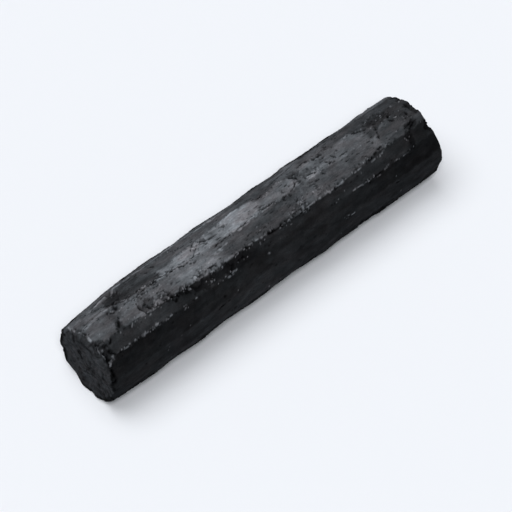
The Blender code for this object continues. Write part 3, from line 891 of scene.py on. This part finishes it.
def cylinder(columns, rings):
    """A cylinder of radius 1 and length 1 along X, cut into columns and rings, ends included."""
    bm = bmesh.new()
    along_x = Matrix.Rotation(math.radians(90), 4, "Y")
    bmesh.ops.create_cone(
        bm, cap_ends=True, segments=columns, radius1=1, radius2=1, depth=1, matrix=along_x
    )
    caps = [face for face in bm.faces if len(face.verts) == columns]
    lengthwise = [edge for edge in bm.edges if abs(edge.verts[0].co.x - edge.verts[1].co.x) > 0.5]
    bmesh.ops.subdivide_edges(bm, edges=lengthwise, cuts=rings - 2, use_grid_fill=True)
    apothem = math.cos(math.pi / columns)
    for _ in range(CAP_RINGS - 1):
        bmesh.ops.inset_individual(bm, faces=caps, thickness=apothem / CAP_RINGS, use_even_offset=True)
    bmesh.ops.poke(bm, faces=caps)
    return bm


def stick_surface():
    """The fine surface of the stick, in place, with each point's tone kept as an attribute."""
    counts = columns_per_face()
    spots = [(face, column / count) for face, count in enumerate(counts) for column in range(count)]
    places = ring_places()
    bm = cylinder(len(spots), len(places))
    tone_layer = bm.verts.layers.float.new("tone")
    for vert in bm.verts:
        ring = round((vert.co.x + 0.5) * (len(places) - 1))
        face, share = spots[round(turn_of(vert.co) % FULL_TURN / FULL_TURN * len(spots)) % len(spots)]
        reach = min(math.hypot(vert.co.y, vert.co.z) + RIM_TOLERANCE, 1.0)
        vert.co, vert[tone_layer] = surface_point(places[ring], face, share, reach)
    mesh = bpy.data.meshes.new("stick_surface")
    bm.to_mesh(mesh)
    bm.free()
    mesh.transform(Matrix.Scale(MM, 4) @ Matrix.Translation((-LENGTH / 2, 0.0, FLAT_BELOW_AXIS)))
    mesh.shade_smooth()
    return bpy.data.objects.new("stick_surface", mesh)


def noise_node(tree, stretch, detail):
    """Noise whose waves are this many millimetres along, across and up."""
    place = tree.nodes.new("ShaderNodeTexCoord")
    mapping = tree.nodes.new("ShaderNodeMapping")
    mapping.inputs["Scale"].default_value = [1.0 / (size * MM) for size in stretch]
    texture = tree.nodes.new("ShaderNodeTexNoise")
    texture.inputs["Scale"].default_value = 1.0
    texture.inputs["Detail"].default_value = detail
    texture.inputs["Roughness"].default_value = NOISE_ROUGHNESS
    tree.links.new(place.outputs["Object"], mapping.inputs["Vector"])
    tree.links.new(mapping.outputs["Vector"], texture.inputs["Vector"])
    return texture.outputs["Fac"]


def range_node(tree, value, start, end, low, high):
    """Turns a value between start and end into one between low and high."""
    node = tree.nodes.new("ShaderNodeMapRange")
    tree.links.new(value, node.inputs["Value"])
    for name, setting in (("From Min", start), ("From Max", end), ("To Min", low), ("To Max", high)):
        node.inputs[name].default_value = setting
    return node.outputs["Result"]


def varied_node(tree, value, variation):
    """Multiplies a value by noise between the variation's low and high."""
    stretch, detail, low, high = variation
    node = tree.nodes.new("ShaderNodeMath")
    node.operation = "MULTIPLY"
    factor = range_node(tree, noise_node(tree, stretch, detail), *VARIATION_LEVELS, low, high)
    tree.links.new(value, node.inputs[0])
    tree.links.new(factor, node.inputs[1])
    return node.outputs["Value"]


def char_material():
    """Matt black char: near black in hollows as painted shade, grey on split faces partly as painted sheen,
    pale in crumbs.
    """
    material = bpy.data.materials.new("char_surface")
    material.use_nodes = True
    tree = material.node_tree
    link = tree.links.new
    shader = tree.nodes["Principled BSDF"]
    shader.inputs["Specular IOR Level"].default_value = GLOSS

    tone = tree.nodes.new("ShaderNodeAttribute")
    tone.attribute_name = "tone"
    varied = tone.outputs["Fac"]
    for variation in VARIATIONS.values():
        varied = varied_node(tree, varied, variation)

    tint = tree.nodes.new("ShaderNodeMix")
    tint.data_type = "RGBA"
    tint.inputs["A"].default_value = (*COOL_TINT, 1.0)
    tint.inputs["B"].default_value = (*WARM_TINT, 1.0)
    warmth = range_node(tree, noise_node(tree, TINT_SIZE, TINT_DETAIL), *TINT_LEVELS, 0.0, 1.0)
    link(warmth, tint.inputs["Factor"])
    colour = tree.nodes.new("ShaderNodeVectorMath")
    colour.operation = "SCALE"
    link(tint.outputs["Result"], colour.inputs[0])
    link(varied, colour.inputs["Scale"])
    link(colour.outputs["Vector"], shader.inputs["Base Color"])
    roughness = range_node(tree, varied, 0.0, BURNISHED_TONE, DULL_ROUGHNESS, BURNISHED_ROUGHNESS)
    link(roughness, shader.inputs["Roughness"])

    bump = tree.nodes.new("ShaderNodeBump")
    bump.inputs["Strength"].default_value = BUMP_STRENGTH
    bump.inputs["Distance"].default_value = BUMP_HEIGHT * MM
    link(noise_node(tree, BUMP_SIZE, BUMP_DETAIL), bump.inputs["Height"])
    link(bump.outputs["Normal"], shader.inputs["Normal"])
    return material


def floor():
    """A plain pale floor."""
    bm = bmesh.new()
    bmesh.ops.create_grid(bm, x_segments=1, y_segments=1, size=FLOOR_SIDE / 2)
    mesh = bpy.data.meshes.new("floor")
    bm.to_mesh(mesh)
    bm.free()
    material = bpy.data.materials.new("floor_paper")
    material.use_nodes = True
    shader = material.node_tree.nodes["Principled BSDF"]
    shader.inputs["Base Color"].default_value = (*FLOOR_COLOUR, 1.0)
    shader.inputs["Roughness"].default_value = FLOOR_ROUGHNESS
    shader.inputs["Specular IOR Level"].default_value = 0.0
    mesh.materials.append(material)
    return bpy.data.objects.new("floor", mesh)


def lamp(name):
    """One of the broad soft lights above the stick."""
    towards, strength, width = LAMPS[name]
    light = bpy.data.lights.new(name, "SUN")
    light.energy = strength
    light.angle = math.radians(width)
    made = bpy.data.objects.new(name, light)
    made.rotation_euler = Vector(towards).to_track_quat("Z", "Y").to_euler()
    return made


def sky():
    """A soft sky, with a brighter band above the horizon."""
    world = bpy.data.worlds.new("sky")
    world.use_nodes = True
    tree = world.node_tree
    background = tree.nodes["Background"]
    background.inputs["Color"].default_value = (*SKY_COLOUR, 1.0)
    direction = tree.nodes.new("ShaderNodeTexCoord")
    split = tree.nodes.new("ShaderNodeSeparateXYZ")
    tree.links.new(direction.outputs["Generated"], split.inputs["Vector"])
    strength = range_node(tree, split.outputs["Z"], 0.0, HORIZON_BAND, SKY_AT_HORIZON, SKY_OVERHEAD)
    tree.links.new(strength, background.inputs["Strength"])
    return world


def camera():
    """The camera, aimed so that the stick lies in the picture where the photograph shows it."""
    data = bpy.data.cameras.new("camera")
    data.sensor_width = SENSOR
    data.lens = FOCAL_PIXELS * SENSOR / IMAGE_PIXELS
    data.clip_end = FARTHEST_SEEN
    turn, lift = math.radians(AZIMUTH), math.radians(ELEVATION)
    towards = Vector((math.cos(lift) * math.sin(turn), -math.cos(lift) * math.cos(turn), math.sin(lift)))
    rotation = towards.to_track_quat("Z", "Y")
    right, up = rotation @ Vector((1, 0, 0)), rotation @ Vector((0, 1, 0))
    metres_per_pixel = DISTANCE / FOCAL_PIXELS
    across, down = (IMAGE_PIXELS / 2 - pixel for pixel in MIDDLE_PIXEL)
    aim = Vector((0, 0, FLAT_BELOW_AXIS * MM)) + (right * across - up * down) * metres_per_pixel
    eye = bpy.data.objects.new("camera", data)
    eye.location = aim + towards * DISTANCE
    eye.rotation_euler = rotation.to_euler()
    return eye


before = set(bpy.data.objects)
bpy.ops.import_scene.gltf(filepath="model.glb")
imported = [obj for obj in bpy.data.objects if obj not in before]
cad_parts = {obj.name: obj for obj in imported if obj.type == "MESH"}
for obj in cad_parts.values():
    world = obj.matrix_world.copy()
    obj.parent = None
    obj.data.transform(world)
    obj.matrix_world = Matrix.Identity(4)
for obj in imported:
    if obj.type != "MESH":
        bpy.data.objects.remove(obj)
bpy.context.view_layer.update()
scene = bpy.context.scene
scene.view_settings.view_transform = "Standard"

stick = stick_surface()
stick.data.materials.append(char_material())
ground = floor()
view_camera = camera()
lamps = [lamp(name) for name in LAMPS]
for made in (stick, ground, view_camera, *lamps):
    scene.collection.objects.link(made)
scene.camera = view_camera
scene.world = sky()

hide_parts("charcoal_stick")
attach(stick, "root")
